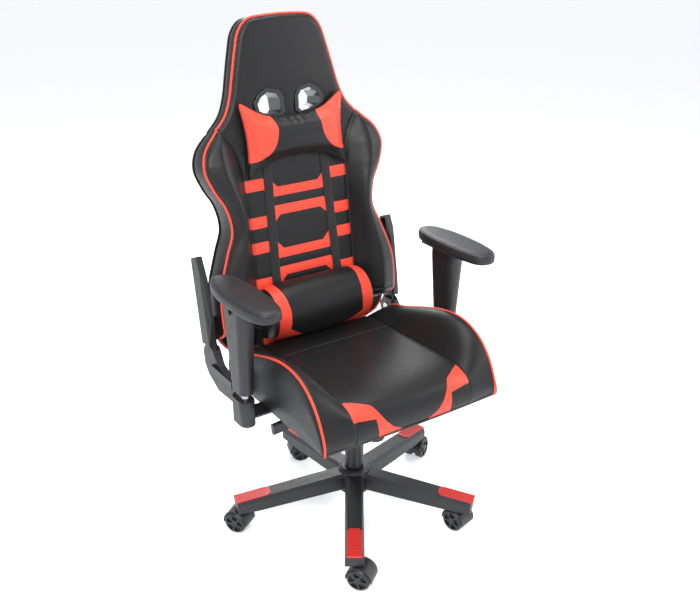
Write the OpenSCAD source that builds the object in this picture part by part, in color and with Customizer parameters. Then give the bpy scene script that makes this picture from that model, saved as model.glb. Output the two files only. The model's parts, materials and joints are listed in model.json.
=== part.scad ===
// Gaming chair: racing-style back, bucket seat, sliding armrests, tilt mechanism, gas lift, star base.
// Origin: on the floor under the lift axis. +Z up, the chair faces -Y, +X is the sitter's left.

/* [Casters] */
// Radius of a caster wheel
wheel_r = 30; // [27:0.5:31]
// Width of one wheel
wheel_w = 22; // [18:1:24]
// Distance from the swivel axis to the axle
caster_trail = 18; // [14:1:20]
// Radius of the caster stem
stem_r = 5.5; // [4:0.5:6]
// Radius of the circle that the casters stand on
caster_circle_r = 305; // [290:1:320]

/* [Base] */
// Height of the arm's top face at the hub
arm_hub_z = 130; // [126:1:134]
// Height of the arm's top face at the tip
arm_tip_z = 98; // [94:1:102]
// Direction of the first arm, in degrees from +X
first_arm_angle = 236; // [0:1:359]
// Outer radius of the gas column
column_r = 25; // [23:0.5:27]
// Outer radius of the gas cylinder
cylinder_r = 14; // [13:0.5:15]

/* [Seat] */
// Half the width of the centre cushion
seat_panel_x = 175; // [160:1:185]
// Half the width of the seat over its bolsters
seat_half_w = 262; // [250:1:266]
// Front end of the seat
seat_front_y = -262; // [-280:1:-250]
// Rear end of the seat
seat_rear_y = 195; // [180:1:196]
// Top of the centre cushion
seat_top_z = 482; // [470:1:490]
// Highest point of the bolsters
bolster_top_z = 560; // [540:1:575]

/* [Back] */
// Height of the back above its pivot, along the back
back_height = 832; // [780:1:840]
// Lean of the back from upright
back_lean = 9; // [5:0.5:12]
// Half the width of the back's centre panel
back_panel_x = 152; // [140:1:160]
// How far the wings stand out in front of the pivot plane
wing_reach = 84; // [70:1:90]

/* [Arms] */
// Distance of the arm posts from the middle
arm_x = 312; // [305:1:320]
// Depth position of the arm posts
arm_y = 20; // [10:1:30]
// Length of an arm pad
pad_length = 276; // [240:1:290]

/* [Hidden] */
$fn = 48;

// Gap between a shaft and its bore
run_gap = 0.05;
bolt_r = 3;
plate_bolt_x = [-70, 70];
plate_bolt_y = [-130, 80];
bracket_bolt_x = [150, 215];
recliner_bolt_y = [120, 170];
// Gap between pieces that slide on flat faces
slide_gap = 0.3;
// Something longer than any piece, for cuts
far = 1000;

black_plastic = "#17181a";
black_steel = "#1d1e20";
black_skin = "#141416";
coral = "#f2462f";
bright_steel = "#c4c7ca";

// Caster directions, in degrees: the side of the swivel axis where each axle trails
caster_yaws = [70, 155, 10, 250, 320];

base_arm_len = 327;
base_arm_end_z = 66;
hub_r = 42;
hub_bottom_z = 72;
hub_top_z = 140;
column_bottom_z = 75;
column_top_z = 262;
cylinder_bottom_z = 100;
cylinder_top_z = 337;
rod_r = 5;
tilt_y = -55;
tilt_z = 375;
tilt_pin_r = 5;
housing_half_w = 55;
housing_floor_z = 334;
housing_wall = 3;
knob_y = -95;
plate_z = 390;
plate_t = 4;
board_t = 12;
board_z = plate_z + plate_t;
seat_bottom_z = board_z + board_t;
bracket_t = 6;
pivot_y = 235;
pivot_z = 455;
pivot_r = 6;
lever_y = pivot_y - 30;
lever_z = pivot_z - 22;
sleeve_bottom_z = 458;
button_z = 672;
pad_bottom_z = 700;
pad_t = 28;
cup_bottom_z = 372;
cup_top_z = 440;
face_n = -35;
frame_n = -5;
cover_n = 8;
rear_n = 25;
wing_bottom_s = 48;
wing_top_s = 615;
hole_low_s = 588;
hole_high_s = 652;

// A smooth line through chosen points: n points for each span
function spline_at(p, i, t) =
    let (a = p[max(i - 1, 0)], b = p[i], c = p[i + 1], d = p[min(i + 2, len(p) - 1)])
    0.5 * (2 * b + (c - a) * t + (2 * a - 5 * b + 4 * c - d) * t * t + (3 * b - a - 3 * c + d) * t * t * t);
function spline(p, n) =
    concat([for (i = [0 : len(p) - 2]) for (k = [0 : n - 1]) spline_at(p, i, k / n)], [p[len(p) - 1]]);
function mirrored(half) = concat(half, [for (i = [len(half) - 1 : -1 : 0]) [-half[i][0], half[i][1]]]);

// Half outline of the back, from its bottom edge to the middle of its top: [x, s]
back_half = concat(
    [[200, -10]],
    spline([[236, 2], [258, 34], [267, 100], [262, 180], [234, 262], [212, 320], [220, 380],
        [246, 430], [262, 480], [250, 524], [214, 562], [178, 600], [158, 645], [144, 700],
        [130, 755], [116, 798], [88, 826], [40, back_height]], 3),
    [[0, back_height + 1]]
);
// Outline of an arm pad round its own middle: [x, y], x away from the chair, for a length of 276
pad_shape = spline([[0, -138], [-20, -132], [-33, -112], [-42, -60], [-44, 0], [-41, 60], [-33, 106],
    [-19, 131], [0, 138], [20, 131], [34, 104], [44, 55], [47, 0], [44, -60], [35, -108], [20, -132],
    [0, -138]], 3);
pad_outline = [for (p = pad_shape) [p[0], p[1] * pad_length / 276]];
pad_y = -10;
// Outline of a belt hole on the sitter's left: [x, s]
hole_outline = [[22, 598], [32, hole_low_s], [78, hole_low_s + 6], [92, 602], [96, 622], [84, 640],
    [62, hole_high_s], [34, 646], [24, 632]];

module on_back() {
    translate([0, pivot_y, pivot_z]) rotate([-back_lean, 0, 0]) children();
}

// Extrudes an [x, s] outline through the back's thickness, from n = low to n = high
module back_slab(low, high) {
    translate([0, high, 0]) rotate([90, 0, 0]) linear_extrude(high - low) children();
}

// Extrudes a [y, z] outline along X
module along_x(low, high) {
    translate([low, 0, 0]) rotate([90, 0, 90]) linear_extrude(high - low) children();
}

// Extrudes an [x, z] outline along Y
module along_y(low, high) {
    translate([0, high, 0]) rotate([90, 0, 0]) linear_extrude(high - low) children();
}

module x_rod(x, y, z, r, length) {
    translate([x, y, z]) rotate([0, 90, 0]) cylinder(r = r, h = length);
}

module both_sides() {
    children();
    mirror([1, 0, 0]) children();
}

module stadium(half_gap, r) {
    translate([0, half_gap]) circle(r);
    translate([0, -half_gap]) circle(r);
    translate([-r, -half_gap]) square([2 * r, 2 * half_gap]);
}

// ---------- Base ----------

// Slope of an arm's top face
arm_slope = atan((arm_hub_z - arm_tip_z) / (base_arm_len - 30));

// Everything on an arm's top face is placed from the tip's top edge
module on_arm(k) {
    rotate([0, 0, first_arm_angle + 72 * k]) translate([base_arm_len, 0, arm_tip_z])
        rotate([0, arm_slope, 0]) children();
}

module cap_plan() {
    polygon([[-92, -12], [-84, -19], [4, -19], [4, 19], [-84, 19], [-92, 12]]);
}

// One arm: its side shape, its plan and the bevels along its top edges together
module base_arm(k) {
    intersection() {
        rotate([0, 0, first_arm_angle + 72 * k]) {
            intersection() {
                along_y(-40, 40) polygon([[20, 84], [270, base_arm_end_z], [base_arm_len, base_arm_end_z],
                    [base_arm_len, arm_tip_z], [30, arm_hub_z], [20, arm_hub_z]]);
                translate([0, 0, 50]) linear_extrude(100)
                    polygon([[20, -24], [base_arm_len, -24], [base_arm_len, 24], [20, 24]]);
            }
        }
        on_arm(k) along_x(-340, 20)
            polygon([[-40, -90], [40, -90], [40, -44], [19, 0], [-19, 0], [-40, -44]]);
    }
}

module star_base() {
    color(black_plastic) difference() {
        union() {
            translate([0, 0, hub_bottom_z]) cylinder(r = hub_r, h = hub_top_z - 8 - hub_bottom_z);
            translate([0, 0, hub_top_z - 8]) cylinder(r1 = hub_r, r2 = hub_r - 8, h = 8);
            for (k = [0 : 4]) base_arm(k);
        }
        translate([0, 0, hub_bottom_z - 1]) cylinder(r = column_r + run_gap, h = far);
        for (k = [0 : 4]) {
            on_arm(k) translate([0, 0, -3]) linear_extrude(40) cap_plan();
            rotate([0, 0, first_arm_angle + 72 * k]) {
                translate([caster_circle_r, 0, base_arm_end_z - 20]) cylinder(r = stem_r + run_gap, h = 44);
                for (side = [-1, 1]) translate([150, side * 10 - 7, 50]) cube([118, 14, 36]);
                for (side = [-1, 1]) translate([62, side * 11 - 8, 50]) cube([80, 16, 46]);
            }
        }
    }
}

module base_caps() {
    color(coral) for (k = [0 : 4]) on_arm(k) difference() {
        translate([0, 0, -2.9]) linear_extrude(4.9) offset(delta = -0.3) cap_plan();
        for (row = [0 : 8]) translate([-80 + row * 9, -14, 1.2]) cube([5, 28, 5]);
    }
}

module gas_column() {
    color(black_steel) difference() {
        translate([0, 0, column_bottom_z]) cylinder(r = column_r, h = column_top_z - column_bottom_z);
        translate([0, 0, column_bottom_z + 4]) cylinder(r = column_r - 2, h = far);
        translate([0, 0, column_bottom_z - 1]) cylinder(r = rod_r + run_gap, h = far);
    }
}

module column_bush() {
    color(black_plastic) difference() {
        translate([0, 0, column_top_z - 24]) cylinder(r = column_r - 2 - run_gap, h = 24);
        translate([0, 0, column_top_z - 30]) cylinder(r = cylinder_r + run_gap, h = 60);
    }
}

// ---------- Casters ----------

module at_caster(i) {
    rotate([0, 0, first_arm_angle + 72 * (i - 1)]) translate([caster_circle_r, 0, 0])
        rotate([0, 0, caster_yaws[i - 1]]) children();
}

module at_axle(i) {
    at_caster(i) translate([caster_trail, 0, wheel_r]) rotate([90, 0, 0]) children();
}

module caster_fork(i) {
    web = 6.4;
    hood_r = wheel_r + 4;
    color(black_plastic) union() {
        at_axle(i) difference() {
            translate([0, 0, -25]) cylinder(r = hood_r, h = 50);
            for (side = [-1, 1]) translate([0, 0, side > 0 ? web : -far - web])
                cylinder(r = wheel_r + 1.5, h = far);
            translate([-far, -far, -far]) cube([2 * far, far - 4, 2 * far]);
            rotate([0, 0, -35]) translate([0, -far, -far]) cube([far, far, 2 * far]);
        }
        at_axle(i) translate([0, 0, -web]) cylinder(r = 13, h = 2 * web);
        at_axle(i) translate([0, 0, -23]) cylinder(r = 4, h = 46);
        at_caster(i) translate([0, 0, 38]) cylinder(r = stem_r, h = 50);
        at_caster(i) translate([-6, -web, 36]) cube([18, 2 * web, 20]);
    }
}

// side = 1 or -1 along the axle
module caster_wheel(i, side) {
    inner = 7;
    color(black_plastic) at_axle(i) mirror([0, 0, side > 0 ? 0 : 1]) difference() {
        translate([0, 0, inner]) rotate_extrude($fn = 64) polygon([[4.05, 0], [wheel_r - 3, 0],
            [wheel_r, 3], [wheel_r, wheel_w - 4], [wheel_r - 4, wheel_w], [0, wheel_w],
            [0, wheel_w - 3], [4.05, wheel_w - 3]]);
        for (spoke = [0 : 4]) rotate([0, 0, 72 * spoke]) translate([0, 0, inner + wheel_w - 5])
            rotate_extrude(angle = 52, $fn = 64) translate([9.5, 0]) square([13, 10]);
    }
}

// ---------- Lift ----------

module piston_rod() {
    color(bright_steel) union() {
        translate([0, 0, column_bottom_z - 5]) cylinder(r = rod_r, h = 120);
        translate([0, 0, column_bottom_z + 4.2]) cylinder(r = 12, h = 5);
        translate([0, 0, 190]) cylinder(r = cylinder_r - 2.1, h = 10);
    }
}

module gas_cylinder() {
    color(bright_steel) difference() {
        translate([0, 0, cylinder_bottom_z]) cylinder(r = cylinder_r, h = cylinder_top_z - cylinder_bottom_z);
        translate([0, 0, cylinder_bottom_z + 6]) cylinder(r = cylinder_r - 2, h = 214);
        translate([0, 0, cylinder_bottom_z - 1]) cylinder(r = rod_r + run_gap, h = 20);
        translate([0, 0, cylinder_top_z - 12]) cylinder(r = 4 + run_gap, h = 20);
    }
}

module valve_pin() {
    color(bright_steel) translate([0, 0, cylinder_top_z - 8]) cylinder(r = 4, h = 16.5);
}

module mechanism_housing() {
    floor_top = housing_floor_z + housing_wall;
    front_y = -128;
    rear_y = 80;
    color(black_steel) difference() {
        union() {
            along_x(-housing_half_w, housing_half_w)
                polygon([[front_y, housing_floor_z], [rear_y, housing_floor_z], [rear_y, 350],
                    [-43, 386], [front_y, 386]]);
            translate([0, 0, 300]) cylinder(r = 20, h = 40);
        }
        translate([housing_wall - housing_half_w, front_y + housing_wall, floor_top])
            cube([2 * (housing_half_w - housing_wall), rear_y - front_y - 2 * housing_wall, far]);
        translate([0, 0, 290]) cylinder(r = cylinder_r + run_gap, h = 60);
        translate([0, knob_y - 4, 320]) cylinder(r = 12, h = 40);
        translate([-far / 2, tilt_y, tilt_z]) rotate([0, 90, 0]) cylinder(r = tilt_pin_r + run_gap, h = far);
        translate([-housing_half_w - 5, -5, 344]) cube([12, 10, 15]);
    }
}

module tilt_spring() {
    turns = 5;
    steps = 12;
    wire = 2;
    coil_r = 15.5;
    low = 307.5;
    rise = 24;
    count = turns * steps;
    ring = 8;
    rings = [for (k = [0 : count]) let (a = 360 * k / steps)
        for (j = [0 : ring - 1]) let (b = 360 * j / ring, q = coil_r + wire * cos(b))
            [q * cos(a), q * sin(a), low + rise * k / count + wire * sin(b)]];
    sides = [for (k = [0 : count - 1]) for (j = [0 : ring - 1]) let (m = (j + 1) % ring)
        [k * ring + j, k * ring + m, (k + 1) * ring + m, (k + 1) * ring + j]];
    ends = [[for (j = [ring - 1 : -1 : 0]) j], [for (j = [0 : ring - 1]) count * ring + j]];
    color(bright_steel) translate([0, knob_y, 0]) polyhedron(rings, concat(sides, ends));
}

module tension_knob() {
    color(black_plastic) difference() {
        union() {
            translate([0, knob_y, 276]) cylinder(r = 25, h = 26);
            translate([0, knob_y, 302]) cylinder(r = 21, h = 3);
            translate([0, knob_y, 300]) cylinder(r = 5, h = plate_z + 8 - 300);
            translate([0, knob_y, plate_z + plate_t + slide_gap]) cylinder(r = 9, h = 4);
        }
        for (grip = [0 : 11]) translate([0, knob_y, 0]) rotate([0, 0, 30 * grip])
            translate([27, 0, 270]) cylinder(r = 4, h = 30, $fn = 24);
    }
}

module lever_carrier() {
    color(bright_steel) union() {
        for (side = [-1, 1]) translate([-34, side > 0 ? 4.5 : -7.5, housing_floor_z + housing_wall + 0.1])
            cube([14, 3, 24]);
        translate([-34, -7.5, 358]) cube([14, 15, 3.1]);
        translate([-27, -7, 350]) rotate([-90, 0, 0]) cylinder(r = 1.5, h = 14);
    }
}

module lift_lever_rod() {
    color(black_steel) difference() {
        union() {
            x_rod(-75, 0, 350, 4, 89);
            translate([-75, 0, 350]) sphere(r = 4.4);
            translate([-75, 0, 350]) rotate([0, -95, 0]) cylinder(r = 4, h = 150);
        }
        translate([-27, -10, 350]) rotate([-90, 0, 0]) cylinder(r = 1.5 + run_gap, h = 20);
    }
}

module lift_lever_grip() {
    color(black_plastic) translate([-75, 0, 350]) rotate([0, -95, 0]) difference() {
        translate([0, 0, 112]) intersection() {
            rotate([0, 0, 90]) linear_extrude(60) stadium(9, 7);
            translate([-far, 0, 30]) rotate([0, 90, 0]) cylinder(r = 33, h = 2 * far, $fn = 64);
        }
        cylinder(r = 4 + run_gap, h = 150.2);
    }
}

// ---------- Seat ----------

module seat_plate() {
    color(black_steel) difference() {
        union() {
            translate([-92, -150, plate_z]) cube([184, 250, plate_t]);
            both_sides() translate([housing_half_w + 0.6, -80, 360]) cube([4, 50, plate_z - 360]);
        }
        translate([-far / 2, tilt_y, tilt_z]) rotate([0, 90, 0]) cylinder(r = tilt_pin_r + 0.02, h = far);
        translate([0, knob_y, plate_z - 5]) cylinder(r = 5 + run_gap, h = 20);
        for (x = plate_bolt_x) for (y = plate_bolt_y) translate([x, y, plate_z - 5])
            cylinder(r = bolt_r + run_gap, h = 20);
    }
}

module tilt_pin() {
    color(bright_steel) union() {
        x_rod(-64, tilt_y, tilt_z, tilt_pin_r, 128);
        for (x = [-66, 60.5]) x_rod(x, tilt_y, tilt_z, 8, 5.5);
    }
}

module board_hole(x, y) {
    translate([x, y, board_z - 1]) cylinder(r = bolt_r, h = 9);
}

module seat_board() {
    color(black_skin) difference() {
        translate([0, 0, board_z]) linear_extrude(board_t)
            polygon([[-252, 190], [252, 190], [254, -150], [236, -246], [-236, -246], [-254, -150]]);
        translate([0, knob_y, board_z - 1]) cylinder(r = 12, h = 8);
        for (x = plate_bolt_x) for (y = plate_bolt_y) board_hole(x, y);
        both_sides() for (x = bracket_bolt_x) board_hole(x, arm_y);
        both_sides() for (y = recliner_bolt_y) board_hole(225, y);
    }
}

// Side profile of the seat's top, [y, z], front first
seat_profile = concat(
    [[seat_front_y + 12, seat_bottom_z]],
    spline([[seat_front_y, 418], [seat_front_y + 2, 440], [-246, 466], [-215, 480], [-150, seat_top_z + 2],
        [0, seat_top_z - 2], [120, seat_top_z - 6]], 4),
    [[seat_rear_y, 470], [seat_rear_y, seat_bottom_z]]
);
bolster_profile = concat(
    [[seat_front_y + 14, seat_bottom_z]],
    spline([[seat_front_y + 3, 420], [-250, 450], [-228, 490], [-190, 530], [-140, 554],
        [-90, bolster_top_z], [-40, bolster_top_z - 8], [40, 530], [120, 502], [seat_rear_y, 490]], 4),
    [[seat_rear_y, seat_bottom_z]]
);

module seat_cushion() {
    color(black_skin) along_x(-seat_panel_x, seat_panel_x) polygon(seat_profile);
}

module seat_bolster() {
    color(black_skin) intersection() {
        along_x(seat_panel_x, seat_half_w) polygon(bolster_profile);
        along_y(seat_front_y - 5, seat_rear_y + 5) polygon([[seat_panel_x, seat_bottom_z],
            [seat_half_w - 6, seat_bottom_z], [seat_half_w, seat_bottom_z + 20], [seat_half_w, 530],
            [252, bolster_top_z + 1], [238, bolster_top_z + 1], [205, 515], [seat_panel_x, 488]]);
        linear_extrude(far) polygon([[0, 300], [300, 300], [seat_half_w, 195], [seat_half_w, -150],
            [246, seat_front_y - 1], [0, seat_front_y - 1]]);
    }
}

module arm_brackets() {
    color(black_steel) both_sides() difference() {
        translate([130, arm_y - 27, board_z - bracket_t]) cube([arm_x - 130 + 14, 54, bracket_t]);
        for (x = bracket_bolt_x) translate([x, arm_y, board_z - 20]) cylinder(r = bolt_r + run_gap, h = 40);
    }
}

module arm_stems() {
    color(bright_steel) both_sides() translate([arm_x, arm_y, board_z]) linear_extrude(206) stadium(12, 11);
}

module arm_cups() {
    color(black_plastic) both_sides() difference() {
        translate([arm_x, arm_y, cup_bottom_z]) linear_extrude(cup_top_z - cup_bottom_z) stadium(15, 20);
        translate([arm_x, arm_y, board_z - bracket_t - 0.1]) linear_extrude(far) stadium(12, 11.1);
        translate([arm_x - 60, arm_y - 27.1, board_z - bracket_t - 0.1]) cube([74.1, 54.2, bracket_t + 0.2]);
    }
}

module recliner_plates() {
    color(black_steel) both_sides() difference() {
        union() {
            along_x(272, 277) polygon([[90, 384], [200, 384], [250, 420], [268, 455], [250, 482],
                [220, 482], [196, 440], [90, 400]]);
            translate([205, 100, board_z - 5]) cube([72, 90, 5]);
        }
        x_rod(260, pivot_y, pivot_z, pivot_r + 0.02, 30);
        for (y = recliner_bolt_y) translate([225, y, board_z - 20]) cylinder(r = bolt_r + run_gap, h = 40);
    }
}

module hinge_foot_covers() {
    color(black_plastic) both_sides() difference() {
        union() {
            along_x(278.5, 297) polygon([[96, 378], [190, 374], [244, 400], [264, 426], [262, 440],
                [225, 470], [208, 470], [180, 446], [96, 422]]);
            x_rod(278.5, pivot_y, pivot_z, 32, 18.5);
        }
        along_x(277, 292) polygon([[100, 382], [188, 378], [241, 403], [260, 427], [258, 440], [222, 466],
            [209, 466], [182, 442], [100, 418]]);
        x_rod(277, pivot_y, pivot_z, 28, 15);
        // Room for the back's hinge plate through its whole swing
        along_x(277, 292) translate([pivot_y, pivot_z])
            polygon([[0, 0], [-70, 70], [70, 70], [70, -52], [8, -6]]);
        x_rod(280, lever_y, lever_z, 5 + run_gap, 30);
    }
}

module bolt(x, y, head_z, length) {
    translate([x, y, head_z]) cylinder(r = bolt_r, h = length);
    translate([x, y, head_z - 4]) cylinder(r = 5.5, h = 4);
}

module seat_bolts() {
    color(bright_steel) {
        for (x = plate_bolt_x) for (y = plate_bolt_y) bolt(x, y, plate_z, 11);
        both_sides() for (x = bracket_bolt_x) bolt(x, arm_y, board_z - bracket_t, 13);
        both_sides() for (y = recliner_bolt_y) bolt(225, y, board_z - 5, 12);
    }
}

module pivot_bolts() {
    color(bright_steel) both_sides() {
        x_rod(270, pivot_y, pivot_z, pivot_r, 17);
        x_rod(269, pivot_y, pivot_z, 10, 2.9);
    }
}

// ---------- Arms ----------

module arm_sleeve() {
    color(black_plastic) translate([arm_x, arm_y, 0]) difference() {
        union() {
            hull() {
                translate([0, 0, sleeve_bottom_z]) linear_extrude(2) stadium(15, 18, $fn = 32);
                translate([0, 0, 668]) linear_extrude(2) stadium(26, 24, $fn = 32);
            }
            translate([0, 0, 668]) linear_extrude(pad_bottom_z - 6 - 668) stadium(26, 24);
            translate([-32, -80, pad_bottom_z - 6]) cube([64, 150, 6]);
        }
        translate([0, 0, sleeve_bottom_z - 1]) linear_extrude(192) stadium(12, 11 + slide_gap);
        x_rod(8, 0, button_z, 6 + run_gap, 30);
    }
}

module arm_pad() {
    color(black_plastic) translate([arm_x, pad_y, 0]) union() {
        translate([0, 0, pad_bottom_z]) linear_extrude(pad_t - 8) polygon(pad_outline);
        translate([0, 0, pad_bottom_z + pad_t - 8]) linear_extrude(8)
            polygon([for (p = pad_outline) p * 0.94]);
    }
}

module arm_button() {
    color(black_plastic) x_rod(arm_x + 13, arm_y, button_z, 6, 15.5);
}

// ---------- Back ----------

module back_outline() {
    polygon(mirrored(back_half));
}

module holes_2d() {
    polygon(hole_outline);
    mirror([1, 0]) polygon(hole_outline);
}

module frame_plan() {
    both_sides() {
        translate([165, 10]) square([22, 540]);
        translate([187, 10]) square([35, 90]);
        translate([105, 550]) square([22, 190]);
        translate([127, 550]) square([60, 20]);
    }
    for (s = [20, 280, 528]) translate([-165, s]) square([330, 22]);
    translate([-105, 718]) square([210, 22]);
}

module tab_plan() {
    translate([222, 40]) square([62.5, 60]);
}

// Room in the foam for the frame and the hinge tabs
module frame_pocket() {
    back_slab(frame_n - 0.1, cover_n + 1) {
        offset(delta = 0.1) frame_plan();
        both_sides() offset(delta = 0.1) tab_plan();
    }
}

module back_frame() {
    color(black_steel) on_back() back_slab(frame_n, cover_n) frame_plan();
}

// Centre panel and head, from the bottom edge to the top
module back_cushion() {
    color(black_skin) on_back() difference() {
        back_slab(face_n, cover_n) difference() {
            intersection() {
                back_outline();
                union() {
                    translate([-back_panel_x, -20]) square([2 * back_panel_x, wing_top_s + 20]);
                    translate([-far, wing_top_s]) square([2 * far, far]);
                }
            }
            holes_2d();
        }
        frame_pocket();
    }
}

module back_bolster() {
    wing_depth = [[cover_n, wing_bottom_s], [-58, wing_bottom_s], [-76, 70], [-wing_reach, 130],
        [-wing_reach, 380], [-wing_reach + 4, 470], [-64, 560], [face_n - 1, wing_top_s],
        [cover_n, wing_top_s]];
    color(black_skin) on_back() difference() {
        intersection() {
            back_slab(-100, cover_n) back_outline();
            along_x(back_panel_x, 300) polygon(wing_depth);
            linear_extrude(far) polygon([[back_panel_x, cover_n], [back_panel_x, face_n], [180, -58],
                [205, -wing_reach], [240, -wing_reach], [262, -66], [272, -40], [272, cover_n]]);
        }
        frame_pocket();
    }
}

module back_rear_cover() {
    color(black_skin) on_back() back_slab(cover_n, rear_n) difference() {
        back_outline();
        holes_2d();
    }
}

module belt_bezels() {
    color(black_plastic) on_back() difference() {
        union() {
            back_slab(face_n - 2.5, face_n) offset(delta = 7) holes_2d();
            back_slab(face_n - 1, rear_n + 2) offset(delta = -0.2) holes_2d();
            back_slab(rear_n, rear_n + 2.5) offset(delta = 7) holes_2d();
        }
        back_slab(-far, far) offset(delta = -4) holes_2d();
    }
}

module back_hinge_plates() {
    color(black_steel) on_back() both_sides() difference() {
        union() {
            along_x(279.5, 284.5) polygon([[-18, -16], [0, -24], [18, -16], [22, 20], [22, 210], [-14, 210],
                [-22, 20]]);
            back_slab(frame_n, cover_n) tab_plan();
        }
        x_rod(270, 0, 0, pivot_r + run_gap, 30);
    }
}

module hinge_cover() {
    color(black_plastic) on_back() difference() {
        intersection() {
            along_x(285, 303) polygon([[-24, 34], [24, 34], [34, 90], [32, 200], [16, 262], [-12, 268],
                [-30, 210], [-36, 100]]);
            linear_extrude(far)
                polygon([[284, -40], [292, -40], [303, -22], [303, 18], [292, 36], [284, 36]]);
        }
        along_x(284, 299) polygon([[-18, 30], [18, 30], [28, 92], [26, 196], [12, 256], [-8, 261],
            [-24, 207], [-30, 100]]);
    }
}

module lumbar_straps() {
    strap = 2;
    color(black_skin) on_back() {
        both_sides() {
            translate([82, face_n - strap, 60]) cube([25, strap - 0.05, 518]);
            translate([50, rear_n + 0.1, -10]) cube([25, strap, 588]);
        }
    }
}

module recline_lever() {
    color(black_steel) union() {
        x_rod(287, lever_y, lever_z, 5, 12);
        x_rod(297.3, lever_y, lever_z, 11, 9);
        along_x(301, 306.3) polygon([[95, lever_z - 10], [lever_y, lever_z - 10],
            [lever_y, lever_z + 10], [95, lever_z + 10]]);
    }
}

// ---------- Pillows ----------

module head_pillow() {
    color(black_skin) on_back() intersection() {
        back_slab(-120, 0) polygon(mirrored([[0, 458], [110, 462], [138, 446], [146, 455], [142, 530],
            [150, 606], [140, 618], [100, 596], [0, 592]]));
        along_x(-160, 160) polygon([[-39, 450], [-52, 456], [-72, 500], [-76, 530], [-70, 565], [-50, 612],
            [-39, 620]]);
    }
}

module lumbar_pillow() {
    color(black_skin) on_back() intersection() {
        back_slab(-160, 0)
            polygon(mirrored([[0, 16], [120, 17], [146, 22], [148, 156], [120, 163], [0, 165]]));
        along_x(-160, 160) polygon(concat([[-39, 20]],
            spline([[-60, 17], [-98, 28], [-122, 57], [-129, 91], [-121, 125], [-94, 154], [-60, 165]], 3),
            [[-39, 161]]));
    }
}

// ---------- Drawing ----------

star_base();
base_caps();
gas_column();
column_bush();
for (i = [1 : 5]) caster_fork(i);
for (i = [1 : 5]) caster_wheel(i, 1);
for (i = [1 : 5]) caster_wheel(i, -1);
piston_rod();
gas_cylinder();
valve_pin();
mechanism_housing();
tilt_spring();
tension_knob();
lever_carrier();
lift_lever_rod();
lift_lever_grip();
seat_plate();
tilt_pin();
seat_board();
seat_cushion();
seat_bolster();  // seat_bolster_left
mirror([1, 0, 0]) seat_bolster();  // seat_bolster_right
arm_brackets();
arm_stems();
arm_cups();
recliner_plates();
hinge_foot_covers();
seat_bolts();
pivot_bolts();
arm_sleeve();  // arm_sleeve_left
mirror([1, 0, 0]) arm_sleeve();  // arm_sleeve_right
arm_pad();  // arm_pad_left
mirror([1, 0, 0]) arm_pad();  // arm_pad_right
arm_button();  // arm_button_left
mirror([1, 0, 0]) arm_button();  // arm_button_right
back_frame();
back_cushion();
back_bolster();  // back_bolster_left
mirror([1, 0, 0]) back_bolster();  // back_bolster_right
back_rear_cover();
belt_bezels();
back_hinge_plates();
hinge_cover();  // hinge_cover_left
mirror([1, 0, 0]) hinge_cover();  // hinge_cover_right
lumbar_straps();
mirror([1, 0, 0]) recline_lever();
head_pillow();
lumbar_pillow();
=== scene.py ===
"""Gaming chair: upholstery, pillows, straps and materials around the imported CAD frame."""
import json
import math

import bpy
import numpy as np
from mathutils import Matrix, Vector, geometry


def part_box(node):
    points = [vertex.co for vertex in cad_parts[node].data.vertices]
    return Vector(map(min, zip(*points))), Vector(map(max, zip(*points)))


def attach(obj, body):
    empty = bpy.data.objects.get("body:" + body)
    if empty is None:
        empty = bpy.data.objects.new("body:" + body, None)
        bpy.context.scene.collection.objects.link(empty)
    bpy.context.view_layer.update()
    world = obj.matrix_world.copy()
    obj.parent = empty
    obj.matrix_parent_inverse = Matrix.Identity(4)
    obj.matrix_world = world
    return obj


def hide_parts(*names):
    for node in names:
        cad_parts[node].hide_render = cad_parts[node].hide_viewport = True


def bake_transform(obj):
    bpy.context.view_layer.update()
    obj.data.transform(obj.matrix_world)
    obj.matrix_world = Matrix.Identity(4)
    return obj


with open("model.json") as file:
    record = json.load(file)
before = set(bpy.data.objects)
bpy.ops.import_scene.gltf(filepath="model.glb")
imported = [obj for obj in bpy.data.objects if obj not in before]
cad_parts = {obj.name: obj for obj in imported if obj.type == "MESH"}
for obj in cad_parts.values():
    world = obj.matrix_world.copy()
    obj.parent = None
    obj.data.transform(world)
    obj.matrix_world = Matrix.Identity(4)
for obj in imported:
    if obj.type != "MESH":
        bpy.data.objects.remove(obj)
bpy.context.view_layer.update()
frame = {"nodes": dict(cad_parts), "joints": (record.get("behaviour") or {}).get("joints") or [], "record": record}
nodes = frame["nodes"]
joints = {j["name"]: j for j in frame["joints"]}

MM = 0.001
CORAL = (0.86, 0.062, 0.032)
BLACK = (0.005, 0.005, 0.0056)
NOT_RED = -50.0

# ---------------------------------------------------------------- back frame of reference
# Places on the back are (x, n, s) in millimetres: n to the rear of the pivot plane, s up along the back.
PIVOT = np.array(joints["back_recline"]["pos_m"])
ALONG = np.array(joints["head_pillow_height"]["axis"])
NORMAL = np.array([0.0, ALONG[2], -ALONG[1]])


def on_back(x, n, s):
    """Places on the back as world points in metres."""
    x, n, s = np.broadcast_arrays(np.asarray(x, float), n, s)
    points = PIVOT + MM * (n[..., None] * NORMAL + s[..., None] * ALONG)
    points[..., 0] = PIVOT[0] + MM * x
    return points


# ---------------------------------------------------------------- curves and distances
def spline(points, steps):
    """A smooth line through the points, with this many steps in each span."""
    p = np.array(points, float)
    ahead = np.vstack([p[1:], p[-1:]])
    behind = np.vstack([p[:1], p[:-1]])
    beyond = np.vstack([p[2:], p[-1:], p[-1:]])
    out = []
    for i in range(len(p) - 1):
        a, b, c, d = behind[i], p[i], ahead[i], beyond[i]
        for t in np.arange(steps) / steps:
            out.append(0.5 * (2 * b + (c - a) * t + (2 * a - 5 * b + 4 * c - d) * t * t
                              + (3 * b - a - 3 * c + d) * t ** 3))
    return np.array(out + [p[-1]])


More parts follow.
